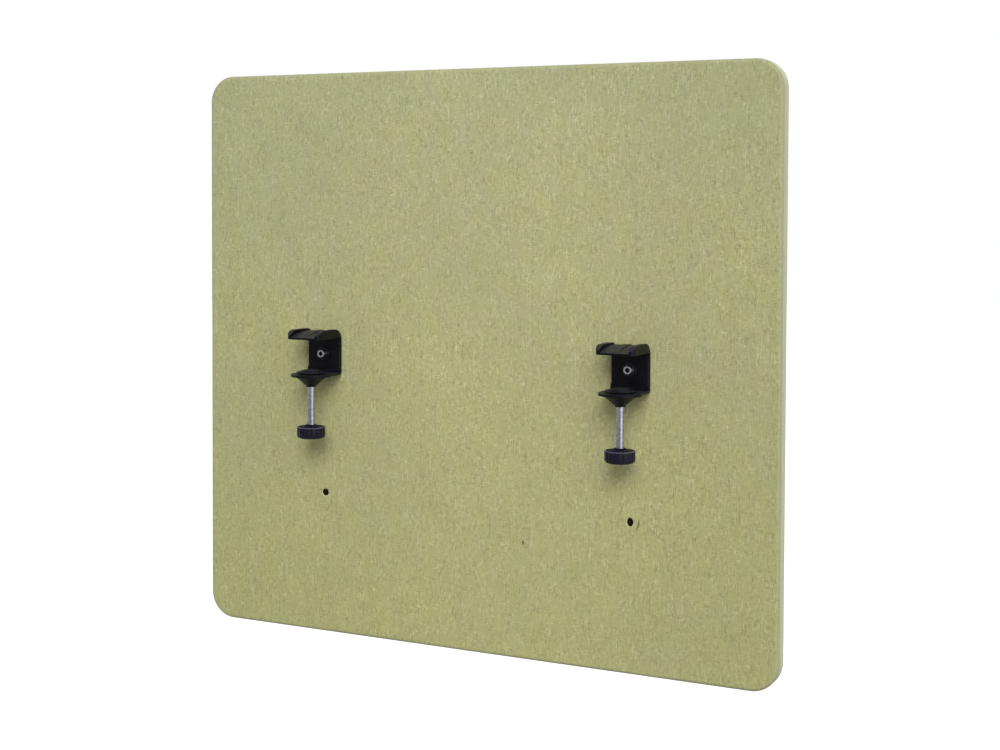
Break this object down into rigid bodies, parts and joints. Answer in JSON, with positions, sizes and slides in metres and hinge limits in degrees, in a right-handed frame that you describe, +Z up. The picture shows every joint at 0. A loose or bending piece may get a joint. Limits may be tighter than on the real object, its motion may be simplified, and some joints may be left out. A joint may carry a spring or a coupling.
{
  "type": "desk clamp acoustic divider screen",
  "caption": "Upright fabric covered acoustic panel with rounded corners and screw clamps that grip a desk's edge.",
  "frame": {"origin": "on the desk's top edge, half way between the clamps: Z = 0 is the plane of the upper jaws' undersides and Y = 0 is where the desk's edge stops against the fixing screws' heads", "axes": "+X along the panel to the right as seen from the clamp side, -Y towards the desk and the clamps, +Z up"},
  "size_m": [0.65, 0.07, 0.6],
  "materials": {
    "cover_fabric": "woven heathered polyester",
    "felt": "needled",
    "acoustic_infill": "polyester fibre",
    "frame_wood": "sawn",
    "dowel_wood": "fluted",
    "insert_brass": "yellow zinc plated",
    "bracket_paint": "satin black powder coat",
    "washer_paint": "black zinc",
    "zinc_steel": "zinc plated",
    "moulded_plastic": "fine spark texture",
    "facing_rubber": "matt",
    "nylon": "natural"
  },
  "bodies": {
    "screen": {"top_rail": "frame_wood", "bottom_rail": "frame_wood", "left_stile": "frame_wood", "right_stile": "frame_wood", "left_batten": "frame_wood", "right_batten": "frame_wood", "frame_dowels": "dowel_wood", "left_infill": "acoustic_infill", "centre_infill": "acoustic_infill", "right_infill": "acoustic_infill", "front_felt": "felt", "rear_felt": "felt", "front_cover": "cover_fabric", "rear_cover": "cover_fabric", "clamp_inserts": "insert_brass", "spare_inserts": "insert_brass", "left_bracket": "bracket_paint", "right_bracket": "bracket_paint", "fixing_screws": "zinc_steel", "screw_washers": "washer_paint"},
    "left_carriage": {"left_pad_bush": "nylon"},
    "left_spindle": {"left_screw": "zinc_steel", "left_knob": "moulded_plastic"},
    "left_swivel_pad": {"left_pad": "moulded_plastic", "left_pad_facing": "facing_rubber"},
    "right_carriage": {"right_pad_bush": "nylon"},
    "right_spindle": {"right_screw": "zinc_steel", "right_knob": "moulded_plastic"},
    "right_swivel_pad": {"right_pad": "moulded_plastic", "right_pad_facing": "facing_rubber"}
  },
  "joints": [
    {"name": "left_pad_lift", "type": "slide", "parent": "screen", "child": "left_carriage", "axis": [0, 0, 1], "range_m": [0, 0.032]},
    {"name": "left_knob_turn", "type": "hinge", "parent": "left_carriage", "child": "left_spindle", "pos_m": [-0.175, -0.0183, -0.03965], "axis": [0, 0, 1], "range_deg": [0, 9216]},
    {"name": "left_pad_tilt", "type": "hinge", "parent": "left_carriage", "child": "left_swivel_pad", "pos_m": [-0.175, -0.0183, -0.03965], "axis": [1, 0, 0], "range_deg": [-4, 4]},
    {"name": "right_pad_lift", "type": "slide", "parent": "screen", "child": "right_carriage", "axis": [0, 0, 1], "range_m": [0, 0.032]},
    {"name": "right_knob_turn", "type": "hinge", "parent": "right_carriage", "child": "right_spindle", "pos_m": [0.175, -0.0183, -0.03965], "axis": [0, 0, 1], "range_deg": [0, 9216]},
    {"name": "right_pad_tilt", "type": "hinge", "parent": "right_carriage", "child": "right_swivel_pad", "pos_m": [0.175, -0.0183, -0.03965], "axis": [1, 0, 0], "range_deg": [-4, 4]}
  ],
  "couplings": [
    {"joint": "left_knob_turn", "follows": "left_pad_lift", "rad_per_m": 5026.5},
    {"joint": "right_knob_turn", "follows": "right_pad_lift", "rad_per_m": 5026.5}
  ]
}
